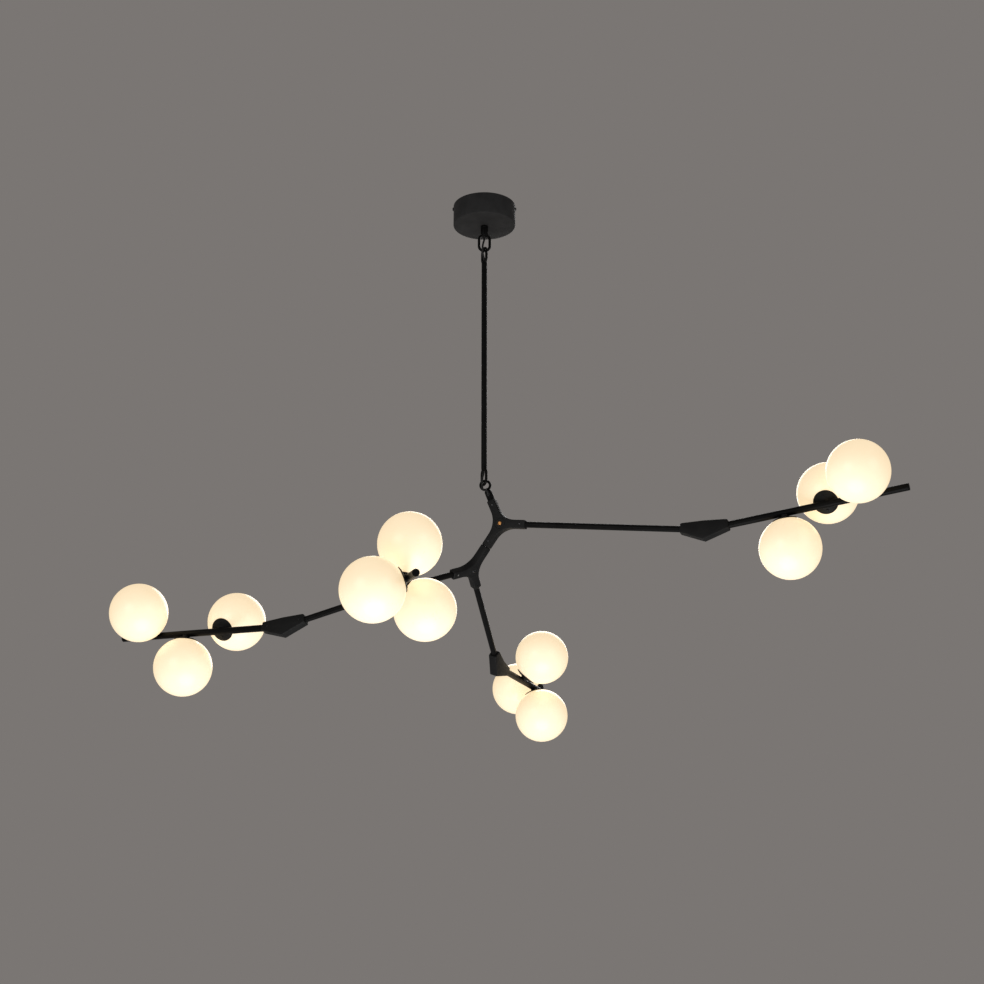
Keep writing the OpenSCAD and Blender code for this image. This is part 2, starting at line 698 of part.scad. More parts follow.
canopy_cover();
ceiling_bracket();
canopy_screws();
terminal_block();
hanger_post();
hanger_nut();
stem_tube();
stem_top_loop();
stem_foot_loop();
supply_cable();
fork_eye();
upper_fork();
upper_fork_cover();
upper_fork_screws();
fork_coupling();
middle_fork();
middle_fork_cover();
middle_fork_screws();
middle_tube();
left_fork();
left_fork_cover();
left_fork_screws();
right_link_tube();
right_elbow();
right_elbow_screws();
left_link_tube();
left_elbow();
left_elbow_screws();
bottom_link_tube();
bottom_elbow();
bottom_elbow_screws();
right_bar();
right_bar_cap();
right_cups();
right_lamp_holders();
right_rings();
right_bulbs();
right_globes();
left_bar();
left_bar_cap();
left_cups();
left_lamp_holders();
left_rings();
left_bulbs();
left_globes();
bottom_bar();
bottom_bar_cap();
bottom_cups();
bottom_lamp_holders();
bottom_rings();
bottom_bulbs();
bottom_globes();
front_bar();
front_bar_cap();
front_cups();
front_lamp_holders();
front_rings();
front_bulbs();
front_globes();
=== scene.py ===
import bmesh
import bpy
from math import acos, asin, cos, pi, radians, sin, sqrt
from mathutils import Matrix, Vector


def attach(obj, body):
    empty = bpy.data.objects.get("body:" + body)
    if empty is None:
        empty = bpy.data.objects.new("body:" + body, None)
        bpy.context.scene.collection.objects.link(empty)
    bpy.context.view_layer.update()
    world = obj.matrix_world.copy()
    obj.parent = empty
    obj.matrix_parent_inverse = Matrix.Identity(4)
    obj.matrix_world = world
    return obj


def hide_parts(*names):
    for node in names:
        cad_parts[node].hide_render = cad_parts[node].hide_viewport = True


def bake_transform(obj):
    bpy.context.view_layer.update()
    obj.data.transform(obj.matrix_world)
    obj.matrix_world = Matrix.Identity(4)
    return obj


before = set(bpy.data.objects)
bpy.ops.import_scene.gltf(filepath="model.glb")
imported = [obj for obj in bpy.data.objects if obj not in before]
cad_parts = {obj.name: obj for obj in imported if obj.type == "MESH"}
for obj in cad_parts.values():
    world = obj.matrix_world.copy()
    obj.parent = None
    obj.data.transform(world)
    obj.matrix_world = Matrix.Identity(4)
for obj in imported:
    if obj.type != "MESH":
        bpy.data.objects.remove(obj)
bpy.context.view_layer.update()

# ---- The viewer ----
# The photograph looks up at the fixture from about 3.4 m away and 1.1 m under the eye of
# the stem, through a long lens: 1700 of its pixels to the focal length, on 984 x 984.
viewer_at = (0.0166, -3.360, -1.7258)
viewer_pitch = 17.653
focal_pixels, photo_pixels, sensor = 1700, 984, 36.0
viewer = bpy.data.cameras.new("viewer")
viewer.sensor_width = viewer.sensor_height = sensor
viewer.lens = focal_pixels * sensor / photo_pixels
viewer.clip_start, viewer.clip_end = 0.05, 60
viewer_object = bpy.data.objects.new("viewer", viewer)
viewer_object.location = viewer_at
viewer_object.rotation_euler = (radians(90 + viewer_pitch), 0, 0)
bpy.context.scene.collection.objects.link(viewer_object)
bpy.context.scene.camera = viewer_object


# ---- Canopy cover ----
# A spun steel cup, 135 mm across and 48 mm deep, open towards the ceiling. It is powder
# coated matte black, with a soft edge round its underside and a hole for the hanger's rod.
canopy_r, canopy_h, canopy_sheet = 0.0675, 0.048, 0.0016


def nothing_selected():
    if bpy.context.object and bpy.context.object.mode != 'OBJECT':
        bpy.ops.object.mode_set(mode='OBJECT')
    bpy.ops.object.select_all(action='DESELECT')


def just_made(name):
    piece = bpy.context.object
    piece.name = piece.data.name = name
    return piece


def turned(name, rings, sides=72, closed=False):
    """A lathe-turned piece: a circle pulled from ring to ring, each ring (radius, height)."""
    nothing_selected()
    radius, height = rings[0]
    bpy.ops.mesh.primitive_circle_add(vertices=sides, radius=radius, location=(0, 0, height))
    piece = just_made(name)
    bpy.ops.object.transform_apply(location=True)
    bpy.ops.object.mode_set(mode='EDIT')
    bpy.ops.mesh.select_mode(type='EDGE')
    bpy.ops.mesh.select_all(action='SELECT')
    for r, h in rings[1:]:
        bpy.ops.mesh.extrude_region_move(TRANSFORM_OT_translate={"value": (0, 0, h - height)})
        bpy.ops.transform.resize(value=(r / radius, r / radius, 1), center_override=(0, 0, h))
        radius, height = r, h
    if closed:
        bpy.ops.mesh.select_all(action='SELECT')
        bpy.ops.mesh.remove_doubles(threshold=1e-6)
    else:
        bpy.ops.mesh.select_all(action='DESELECT')
        bpy.ops.mesh.select_non_manifold()
        bpy.ops.mesh.fill_holes(sides=0)
    bpy.ops.mesh.select_all(action='SELECT')
    bpy.ops.mesh.normals_make_consistent(inside=False)
    bpy.ops.object.mode_set(mode='OBJECT')
    return piece


def pick_faces(piece, chosen):
    """Goes into edit mode with only the chosen faces selected."""
    bpy.ops.object.mode_set(mode='EDIT')
    bpy.ops.mesh.select_mode(type='FACE')
    bpy.ops.mesh.select_all(action='DESELECT')
    mesh = bmesh.from_edit_mesh(piece.data)
    for face in mesh.faces:
        if chosen(face):
            face.select_set(True)
    bmesh.update_edit_mesh(piece.data)


def modified(piece, kind, **settings):
    nothing_selected()
    bpy.context.view_layer.objects.active = piece
    piece.select_set(True)
    modifier = piece.modifiers.new(kind, kind)
    for key, value in settings.items():
        setattr(modifier, key, value)
    bpy.ops.object.modifier_apply(modifier=modifier.name)
    return piece


def softened(piece, width=0.0, segments=3, angle=38):
    """Rounds the sharp edges and shades the rest smooth."""
    if width:
        modified(piece, 'BEVEL', width=width, segments=segments, limit_method='ANGLE',
                 angle_limit=radians(angle), harden_normals=False)
    nothing_selected()
    bpy.context.view_layer.objects.active = piece
    piece.select_set(True)
    bpy.ops.object.shade_smooth_by_angle(angle=radians(35))
    return piece


def cut(piece, cutter):
    """Takes the cutter's shape out of the piece, and drops the cutter."""
    modified(piece, 'BOOLEAN', operation='DIFFERENCE', object=cutter, solver='EXACT')
    bpy.data.objects.remove(cutter, do_unlink=True)
    return piece


def joined(name, *parts):
    nothing_selected()
    for part in parts:
        part.select_set(True)
    bpy.context.view_layer.objects.active = parts[0]
    bpy.ops.object.join()
    return just_made(name)


def placed(piece, matrix):
    """Puts the piece at its place and keeps that place in its mesh."""
    nothing_selected()
    piece.matrix_world = matrix @ piece.matrix_world
    bpy.context.view_layer.objects.active = piece
    piece.select_set(True)
    bpy.ops.object.transform_apply(location=True, rotation=True, scale=True)
    return piece


def another(piece, name):
    twin = piece.copy()
    twin.data = piece.data.copy()
    twin.name = twin.data.name = name
    bpy.context.scene.collection.objects.link(twin)
    return twin


class Wire:
    """An output socket that takes part in sums: each sum adds its own Math node."""

    def __init__(self, finish, socket):
        self.finish, self.socket = finish, socket

    def sum_with(self, how, left, right):
        return self.finish.node('ShaderNodeMath', {'operation': how}, {0: left, 1: right})

    def __add__(self, other):
        return self.sum_with('ADD', self, other)

    def __radd__(self, other):
        return self.sum_with('ADD', other, self)

    def __sub__(self, other):
        return self.sum_with('SUBTRACT', self, other)

    def __rsub__(self, other):
        return self.sum_with('SUBTRACT', other, self)

    def __mul__(self, other):
        return self.sum_with('MULTIPLY', self, other)

    def __rmul__(self, other):
        return self.sum_with('MULTIPLY', other, self)


class Finish:
    """A surface finish under construction, built round one Principled shader."""

    def __init__(self, name, **fixed):
        self.material = bpy.data.materials.new(name)
        self.material.use_nodes = True
        self.tree = self.material.node_tree
        self.tree.nodes.clear()
        self.shader = self.tree.nodes.new('ShaderNodeBsdfPrincipled')
        end = self.tree.nodes.new('ShaderNodeOutputMaterial')
        self.tree.links.new(self.shader.outputs[0], end.inputs['Surface'])
        for socket, value in fixed.items():
            self.shader.inputs[socket.replace('_', ' ')].default_value = value
        self.at = self.node('ShaderNodeTexCoord', out='Object')

    def node(self, kind, settings=None, sockets=None, out=0):
        node = self.tree.nodes.new(kind)
        for key, value in (settings or {}).items():
            if key == 'stops':
                ramp = node.color_ramp
                while len(ramp.elements) < len(value):
                    ramp.elements.new(0.5)
                for element, (place, colour) in zip(ramp.elements, value):
                    element.position, element.color = place, (*colour, 1)
            else:
                setattr(node, key, value)
        for key, value in (sockets or {}).items():
            if isinstance(value, Wire):
                self.tree.links.new(value.socket, node.inputs[key])
            else:
                node.inputs[key].default_value = value
        return Wire(self, node.outputs[out])

    def noise(self, scale, detail=3.0, roughness=0.55, at=None):
        return self.node('ShaderNodeTexNoise', None,
                         {'Vector': at or self.at, 'Scale': scale, 'Detail': detail, 'Roughness': roughness})

    def stretched(self, scale, turn=(0, 0, 0)):
        return self.node('ShaderNodeMapping', None, {'Vector': self.at, 'Scale': scale, 'Rotation': turn})

    def ramp(self, value, *stops):
        return self.node('ShaderNodeValToRGB', {'stops': stops}, {'Fac': value})

    def mixed(self, factor, one, two):
        return self.node('ShaderNodeMix', {'data_type': 'RGBA'}, {0: factor, 6: one, 7: two}, out=2)

    def give(self, socket, wire):
        self.tree.links.new(wire.socket, self.shader.inputs[socket])

    def bump(self, height, strength, distance):
        self.give('Normal', self.node('ShaderNodeBump', None,
                                      {'Height': height, 'Strength': strength, 'Distance': distance}))


def powder_coat(name, low, high, rough, shine=0.16, grain=2600, pit=0.00012):
    """Matte powder coat: fine orange peel, faint cloudiness and a little handling shine."""
    coat = Finish(name, Metallic=0.0, Specular_IOR_Level=shine)
    cloud = coat.noise(38, 4.0)
    smear = coat.noise(11, 2.0, at=coat.stretched((1.0, 1.0, 2.4)))
    coat.give('Base Color', coat.ramp(cloud * 0.7 + smear * 0.3, (0.32, low), (0.68, high)))
    coat.give('Roughness', rough + 0.16 * coat.noise(90, 3.0) - 0.14 * smear)
    coat.bump(coat.noise(grain, 2.0) + 0.6 * coat.noise(grain * 0.34, 2.0), 0.5, pit)
    return coat.material


def dressed(piece, body, slot, material, *nodes):
    """The piece takes its finish, rides on its body and stands for its CAD nodes."""
    piece.data.materials.clear()
    piece.data.materials.append(material)
    if body:
        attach(piece, body)
    if nodes:
        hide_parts(*nodes)
    return piece


canopy_coat = powder_coat("canopy_coat", (0.0250, 0.0243, 0.0239), (0.0400, 0.0390, 0.0384), 0.55, shine=0.10)
inner_r = canopy_r - canopy_sheet
cover = turned("canopy_cover_spun", [
    (0.0054, -canopy_h), (0.030, -canopy_h), (canopy_r - 0.0026, -canopy_h),
    (canopy_r - 0.0013, -canopy_h + 0.0003), (canopy_r - 0.0004, -canopy_h + 0.0011),
    (canopy_r, -canopy_h + 0.0024), (canopy_r, -0.0012), (canopy_r - 0.0003, -0.0004),
    (canopy_r - 0.0008, 0.0), (inner_r + 0.0002, -0.0002), (inner_r, -0.0008),
    (inner_r, -canopy_h + 0.0032), (inner_r - 0.0020, -canopy_h + canopy_sheet),
    (0.0054, -canopy_h + canopy_sheet), (0.0054, -canopy_h)], sides=160, closed=True)
dressed(softened(cover), "canopy", "canopy_black", canopy_coat, "canopy_cover")


# ---- Ceiling bracket, nut and terminal block ----
# A bent zinc-plated strap on the ceiling carries the rod's nut and the cover's two side
# screws. The terminal block is moulded white plastic. All of it is hidden by the cover.
def plated(name, pale, dark, scale=70):
    zinc = Finish(name, Metallic=1.0)
    brushed = zinc.noise(scale * 9, 2.0, at=zinc.stretched((0.06, 1.0, 1.0)))
    spangle = zinc.noise(scale, 3.0)
    zinc.give('Base Color', zinc.mixed(spangle, (*pale, 1), (*dark, 1)))
    zinc.give('Roughness', 0.24 + 0.2 * brushed + 0.1 * spangle)
    zinc.bump(brushed, 0.25, 0.0001)
    return zinc.material


def moulded(name, pale, dark, rough):
    plastic = Finish(name, Specular_IOR_Level=0.45)
    flow = plastic.noise(45, 3.0)
    plastic.give('Base Color', plastic.mixed(flow, (*pale, 1), (*dark, 1)))
    plastic.give('Roughness', rough + 0.12 * flow)
    plastic.bump(plastic.noise(1500, 2.0), 0.3, 0.0001)
    return plastic.material


def refinished(node, material):
    """A CAD node whose shape is right keeps it and gets its finish."""
    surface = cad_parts[node]
    surface.data.materials.clear()
    surface.data.materials.append(material)


zinc = plated("zinc_plate", (0.60, 0.60, 0.58), (0.46, 0.47, 0.47))
for node in ("ceiling_bracket", "hanger_nut", "fork_coupling"):
    refinished(node, zinc)
refinished("terminal_block", moulded("terminal_moulding", (0.80, 0.78, 0.72), (0.72, 0.70, 0.64), 0.42))

# Two small hexagon socket screws, coated like the cover, hold it to the bracket's ears.
screw_black = plated("screw_blacked", (0.10, 0.10, 0.105), (0.045, 0.045, 0.048))


def socket_screw(name, shank_r, shank, head_r, head, socket_r):
    """Domed screw: the head sits below z = 0, the shank points along +Z."""
    body = turned(name, [
        (socket_r * 1.3, -head * 0.96), (head_r * 0.62, -head * 0.94), (head_r * 0.88, -head * 0.66),
        (head_r * 0.985, -head * 0.3), (head_r, 0.0), (shank_r, 0.0), (shank_r, shank * 0.92),
        (shank_r * 0.72, shank)], sides=40)
    nothing_selected()
    bpy.ops.mesh.primitive_cylinder_add(vertices=6, radius=socket_r, depth=head * 1.1,
                                        location=(0, 0, -head * 0.96))
    return softened(cut(body, just_made("hexagon")))


ear_height = 0.012
ear_z = -(ear_height / 2 + canopy_sheet / 2)
first_screw = socket_screw("canopy_screw_0", 0.002, 0.0062, 0.004, 0.0024, 0.0013)
for i, side in enumerate((0, 180)):
    screw = another(first_screw, f"canopy_screw_{i + 1}")
    placed(screw, Matrix.Rotation(radians(side), 4, 'Z') @ Matrix.Translation((canopy_r, 0, ear_z))
           @ Matrix.Rotation(radians(-90), 4, 'Y'))
    dressed(screw, "canopy", "screw_black", canopy_coat, "canopy_screws")
bpy.data.objects.remove(first_screw, do_unlink=True)


# ---- Hanger post and its open loop ----
# A turned steel post screwed up into the canopy, with an oval wire loop brazed under it.
# The loop faces the viewer, and the stem's upper loop is hooked through it.
post_foot = -0.072
wire_r = 0.0029
hanger_loop = (0.029, 0.044)
tube_coat = powder_coat("tube_coat", (0.0035, 0.0034, 0.0033), (0.0068, 0.0066, 0.0065), 0.40,
                        shine=0.08, grain=3000, pit=0.00008)


def wire_loop(name, width, height):
    """Closed oval of round wire in the XZ plane, hanging from its outer top at the origin."""
    nothing_selected()
    bow = width / 2 - wire_r
    bpy.ops.mesh.primitive_torus_add(major_segments=56, minor_segments=20, major_radius=bow,
                                     minor_radius=wire_r, rotation=(radians(90), 0, 0))
    loop = just_made(name)
    bpy.ops.object.transform_apply(rotation=True)
    pick_faces(loop, lambda face: face.calc_center_median().z < 0)
    bpy.ops.mesh.extrude_region_move(TRANSFORM_OT_translate={"value": (0, 0, width - height)})
    bpy.ops.mesh.select_all(action='SELECT')
    bpy.ops.mesh.normals_make_consistent(inside=False)
    bpy.ops.object.mode_set(mode='OBJECT')
    return placed(loop, Matrix.Translation((0, 0, -width / 2)))


hanger_top = post_foot + 2 * wire_r
hook_z = hanger_top - hanger_loop[1] + wire_r
post = turned("hanger_post_turned", [
    (0.0042, post_foot + 0.0002), (0.0068, post_foot), (0.0076, post_foot + 0.0006),
    (0.008, post_foot + 0.0016), (0.008, -canopy_h - 0.0052), (0.0074, -canopy_h - 0.0047),
    (0.0074, -canopy_h - 0.0041), (0.008, -canopy_h - 0.0036), (0.008, -canopy_h - 0.0011),
    (0.0074, -canopy_h - 0.0004), (0.005, -canopy_h - 0.0003), (0.005, -0.0014), (0.0045, -0.0008),
    (0.0028, -0.0008), (0.0028, post_foot + 0.0006), (0.0042, post_foot + 0.0002)],
    sides=64, closed=True)
loop_a = placed(wire_loop("loop_a", *hanger_loop), Matrix.Translation((0, 0, hanger_top)))
hanger = softened(joined("hanger_post_and_loop", post, loop_a))
dressed(hanger, "hanger", "tube_black", tube_coat, "hanger_post")


# ---- Stem, its two loops and the supply cable ----
# A straight black steel tube, 12 mm across, closed at each end by a plug with an oval wire
# loop. The flexible cable leaves the post, passes the hooked loops and runs inside the stem.
stem_r, stem_length = 0.006, 0.465
stem_loop = (0.027, 0.040)
loop_turn = 25
stem_top = hook_z + 4 * wire_r + 0.0003 - wire_r - stem_loop[1]
stem_foot = stem_top - stem_length
stem = turned("stem_tube_drawn", [
    (0.0049, stem_foot), (0.0055, stem_foot), (0.0059, stem_foot + 0.0003), (stem_r, stem_foot + 0.0009),
    (stem_r, stem_foot + stem_length * 0.33), (stem_r, stem_foot + stem_length * 0.66),
    (stem_r, stem_top - 0.0009), (0.0059, stem_top - 0.0003), (0.0055, stem_top), (0.0049, stem_top),
    (0.0048, stem_foot + 0.0005), (0.0049, stem_foot)], sides=56, closed=True)
dressed(softened(stem), "stem", "tube_black", tube_coat, "stem_tube")


def stem_end(name):
    """Loop with a boss below it, its foot at the origin."""
    loop = placed(wire_loop(name + "_wire", *stem_loop),
                  Matrix.Rotation(radians(90 + loop_turn), 4, 'Z') @ Matrix.Translation((0, 0, stem_loop[1])))
    boss = turned(name + "_boss", [
        (0.0024, 0.0068), (0.0042, 0.0068), (0.0051, 0.0062), (0.0056, 0.0050), (0.0059, 0.0032),
        (0.006, 0.0002), (0.0046, 0.0001), (0.0046, -0.0155), (0.0024, -0.016), (0.0024, 0.0068)],
        sides=48, closed=True)
    return softened(joined(name, loop, boss))


upper_end = placed(stem_end("stem_top_loop_formed"), Matrix.Translation((0, 0, stem_top)))
dressed(upper_end, "stem", "tube_black", tube_coat, "stem_top_loop")
foot_end = stem_end("stem_foot_loop_formed")
nothing_selected()
bpy.context.view_layer.objects.active = foot_end
foot_end.select_set(True)
foot_end.scale = (1, 1, -1)
bpy.ops.object.transform_apply(scale=True)
bpy.ops.object.mode_set(mode='EDIT')
bpy.ops.mesh.select_all(action='SELECT')
bpy.ops.mesh.normals_make_consistent(inside=False)
bpy.ops.object.mode_set(mode='OBJECT')
placed(foot_end, Matrix.Translation((0, 0, stem_foot)))
dressed(foot_end, "stem", "tube_black", tube_coat, "stem_foot_loop")

# The eye hangs 2.7 mm to the right of the wire that carries it.
foot_wire_z = stem_foot - stem_loop[1] + wire_r
eye_hole_r, eye_wire_r, eye_side = 0.0072, 0.0027, 0.0027
eye_z = foot_wire_z - sqrt((eye_hole_r - wire_r - 0.0003 - 0.00075) ** 2 - eye_side ** 2)
cable_r = 0.0021
cable_y = -(wire_r + cable_r + 0.0007)
cable_x = cable_y * (1 - sin(radians(loop_turn))) / cos(radians(loop_turn))


def cable(name, points):
    """Round cable along a curve through the points, made a mesh."""
    bpy.ops.curve.primitive_bezier_curve_add()
    run = just_made(name)
    spline = run.data.splines[0]
    spline.bezier_points.add(len(points) - 2)
    for knot, point in zip(spline.bezier_points, points):
        knot.co = point
        knot.handle_left_type = knot.handle_right_type = 'AUTO'
    run.data.resolution_u = 10
    run.data.bevel_depth = cable_r
    run.data.bevel_resolution = 5
    run.data.use_fill_caps = True
    bpy.ops.object.convert(target='MESH')
    bpy.ops.object.mode_set(mode='EDIT')
    bpy.ops.mesh.select_all(action='SELECT')
    bpy.ops.mesh.remove_doubles(threshold=1e-6)
    bpy.ops.mesh.normals_make_consistent(inside=False)
    bpy.ops.object.mode_set(mode='OBJECT')
    return softened(bpy.context.object)


sheath = Finish("cable_sheath", Specular_IOR_Level=0.4)
scuff = sheath.noise(120, 3.0)
sheath.give('Base Color', sheath.ramp(scuff, (0.3, (0.008, 0.008, 0.008)), (0.7, (0.020, 0.019, 0.018))))
sheath.give('Roughness', 0.5 + 0.2 * scuff)
sheath.bump(sheath.noise(900, 2.0), 0.4, 0.0001)
nothing_selected()
upper_run = cable("supply_cable_upper", [
    (0, 0, post_foot + 0.004), (0, -0.0006, post_foot - 0.006),
    (cable_x * 0.75, cable_y * 0.8, hook_z + 0.015), (cable_x, cable_y, hook_z + 0.0085),
    (cable_x, cable_y, hook_z), (cable_x * 0.95, cable_y * 0.95, hook_z - 0.007),
    (cable_x * 0.3, cable_y * 0.3, stem_top + 0.0135), (0, 0, stem_top + 0.005),
    (0, 0, stem_top - 0.02)])
dressed(upper_run, None, "cable_black", sheath.material, "supply_cable")
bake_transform(upper_run)


# ---- The three forks ----
# Cast aluminium forks with three arms at 120 degrees, powder coated black. Each arm takes a
# tube in a bored socket under a grub screw, and a round plate closes the wiring chamber.
arm_length, arm_width, fork_thick, web_radius = 0.056, 0.017, 0.017, 0.045
joint_line = 0.0001
eye_length, middle_link, screw_inset, grub_hole_r, socket_play = 0.037, 0.121, 0.012, 0.00205, 0.00005
fork_yaw, fork_pitch, fork_roll, middle_turn, left_turn = -24.5, 3, -21.5, -82.5, -46
link_r, bar_r, grip = 0.00625, 0.007, 0.029
cast_coat = powder_coat("cast_coat", (0.0075, 0.0075, 0.0077), (0.0135, 0.0134, 0.0132), 0.50,
                        grain=1900, pit=0.00018)
brass = Finish("screw_brassed", Metallic=1.0)
tarnish = brass.noise(300, 3.0)
brass.give('Base Color', brass.ramp(tarnish, (0.35, (0.78, 0.38, 0.13)), (0.7, (0.62, 0.30, 0.10))))
brass.give('Roughness', 0.28 + 0.2 * tarnish)
brass.bump(brass.noise(1200, 2.0), 0.2, 0.00008)


def turn(angle, axis):
    return Matrix.Rotation(radians(angle), 4, axis)


def step(distance):
    return Matrix.Translation((0, 0, distance))


upper_fork_at = (Matrix.Translation((eye_side, 0, eye_z)) @ turn(fork_yaw, 'Z') @ turn(fork_pitch, 'X')
                 @ turn(fork_roll, 'Y') @ step(-eye_length - arm_length))
coupling_at = upper_fork_at @ turn(-120, 'Y')
middle_fork_at = coupling_at @ step(2 * arm_length) @ turn(middle_turn, 'Z') @ turn(180, 'Y')
middle_tube_at = middle_fork_at @ turn(-120, 'Y')
left_fork_at = (middle_tube_at @ step(2 * arm_length + middle_link) @ turn(left_turn, 'Z')
                @ turn(180, 'Y'))


def half_width(along):
    """Half the width of an arm at a distance from the fork's centre: the webs are round."""
    touch = (arm_width / 2 + web_radius) / sin(radians(60)) * cos(radians(60))
    if along >= touch:
        return arm_width / 2
    return arm_width / 2 + web_radius - sqrt(web_radius ** 2 - (touch - along) ** 2)


def fork_casting(name, sockets):
    """A three-sided prism whose sides are pulled out into the arms, bevelled and bored."""
    nothing_selected()
    corner = (arm_width / 2 + web_radius) / sin(radians(60)) - web_radius
    bpy.ops.mesh.primitive_cylinder_add(vertices=3, radius=corner, depth=fork_thick,
                                        rotation=(radians(-90), 0, 0))
    casting = just_made(name)
    bpy.ops.object.transform_apply(rotation=True)
    for _ in range(3):
        along = corner / 2
        pick_faces(casting, lambda face: face.normal.z > 0.99)
        for reach in (0.0105, 0.0130, 0.0160, 0.0195, 0.0235, 0.0272, 0.0309, 0.0430,
                      arm_length - joint_line):
            bpy.ops.mesh.extrude_region_move(TRANSFORM_OT_translate={"value": (0, 0, reach - along)})
            narrower = half_width(reach) / half_width(along)
            bpy.ops.transform.resize(value=(narrower, 1, 1), center_override=(0, 0, reach))
            along = reach
        bpy.ops.object.mode_set(mode='OBJECT')
        casting.data.transform(turn(120, 'Y'))
    softened(casting, width=0.0021, segments=4, angle=50)
    for i, socket_r in enumerate(sockets):
        mouth = turned("mouth", [
            (socket_r + socket_play, arm_length - grip), (socket_r + socket_play, arm_length - 0.0008),
            (socket_r + 0.0010, arm_length + 0.0002), (socket_r + 0.0010, arm_length + 0.004)], sides=48)
        cut(casting, placed(mouth, turn(120 * i, 'Y')))
        hole = turned("hole", [(grub_hole_r, 0.0), (grub_hole_r, 0.0075), (0.0026, 0.0086), (0.0026, 0.012)],
                      sides=28)
        cut(casting, placed(hole, turn(120 * i, 'Y') @ step(arm_length - screw_inset) @ turn(90, 'X')))
    recess = turned("recess", [(0.0115, fork_thick / 2 - 0.002), (0.0115, fork_thick / 2 - 0.0004),
                               (0.0119, fork_thick / 2), (0.0119, fork_thick / 2 + 0.004)], sides=72)
    cut(casting, placed(recess, turn(90, 'X')))
    return softened(casting)


def cover_plate(name):
    """Flush round plate with a soft edge and a hole for its screw."""
    face = fork_thick / 2
    plate = turned(name, [
        (0.0021, face - 0.002), (0.01146, face - 0.002), (0.01146, face - 0.0005), (0.0112, face - 0.0002),
        (0.0109, face - 0.0001), (0.0046, face - 0.0001), (0.0021, face - 0.0006), (0.0021, face - 0.002)],
        sides=72, closed=True)
    return softened(placed(plate, turn(90, 'X')))


def grub_screw(name, tip, face):
    """Grub screw with a hexagon socket, from its tip to just under the face it sits in."""
    body = turned(name, [
        (0.0011, tip), (0.0019, tip + 0.0004), (0.0020, tip + 0.0008), (0.0020, face - 0.0007),
        (0.0018, face - 0.0003), (0.0012, face - 0.00025)], sides=28)
    nothing_selected()
    bpy.ops.mesh.primitive_cylinder_add(vertices=6, radius=0.00105, depth=0.002, location=(0, 0, face))
    return softened(cut(body, just_made("hexagon")))


fork_sockets = {"upper": (0.005, link_r, link_r), "middle": (link_r, link_r, link_r),
                "left": (link_r, link_r, bar_r)}
fork_places = {"upper": (upper_fork_at, "upper_frame"), "middle": (middle_fork_at, "lower_frame"),
               "left": (left_fork_at, "left_frame")}
for side, sockets in fork_sockets.items():
    place, body = fork_places[side]
    casting = placed(fork_casting(f"{side}_fork_cast", sockets), place)
    dressed(casting, body, "cast_black", cast_coat, f"{side}_fork")
    dressed(placed(cover_plate(f"{side}_fork_plate"), place), body, "tube_black", cast_coat,
            f"{side}_fork_cover")
    head = socket_screw(f"{side}_cover_screw", 0.002, 0.0062, 0.004, 0.0012, 0.0014)
    placed(head, place @ turn(90, 'X') @ step(fork_thick / 2) @ turn(180, 'X'))
    seen, seen_slot = (brass.material, "screw_brass") if side == "upper" else (screw_black, "screw_black")
    dressed(head, body, seen_slot, seen, f"{side}_fork_screws")
    for i, socket_r in enumerate(sockets):
        grub = grub_screw(f"{side}_fork_grub_{i + 1}", socket_r + 0.00035, fork_thick / 2)
        placed(grub, place @ turn(120 * i, 'Y') @ step(arm_length - screw_inset) @ turn(90, 'X'))
        bare = side == "middle" and i == 2
        seen, seen_slot = (zinc, "zinc_steel") if bare else (screw_black, "screw_black")
        dressed(grub, body, seen_slot, seen, f"{side}_fork_screws")


# ---- Eye of the upper fork, and the cable's end ----
# A forged ring on a collar, hooked on the stem's foot loop and screwed into the upper fork.
# The cable runs past it and enters the collar through a small rubber grommet.
nothing_selected()
ring_r = eye_hole_r + eye_wire_r
bpy.ops.mesh.primitive_torus_add(major_segments=72, minor_segments=24, major_radius=ring_r,
                                 minor_radius=eye_wire_r, rotation=(radians(90), 0, 0))
eye_ring = just_made("eye_ring")
bpy.ops.object.transform_apply(rotation=True)
placed(eye_ring, Matrix.Translation((eye_side, 0, eye_z)))
collar = turned("eye_collar", [
    (0.0042, -0.0087), (0.0047, -0.0093), (0.0050, -0.0112), (0.0056, -0.0128), (0.0068, -0.0140),
    (0.0074, -0.0156), (0.0075, -0.0176), (0.0075, -0.0346), (0.0071, -0.0352), (0.0071, -0.0358),
    (0.0075, -0.0362), (0.0075, -0.0370), (0.005, -0.0370), (0.005, -0.0652),
    (0.0046, -0.0657)], sides=56)
placed(collar, upper_fork_at @ step(arm_length + eye_length))
eye = softened(joined("fork_eye_forged", eye_ring, collar))
dressed(eye, "upper_frame", "tube_black", tube_coat, "fork_eye")

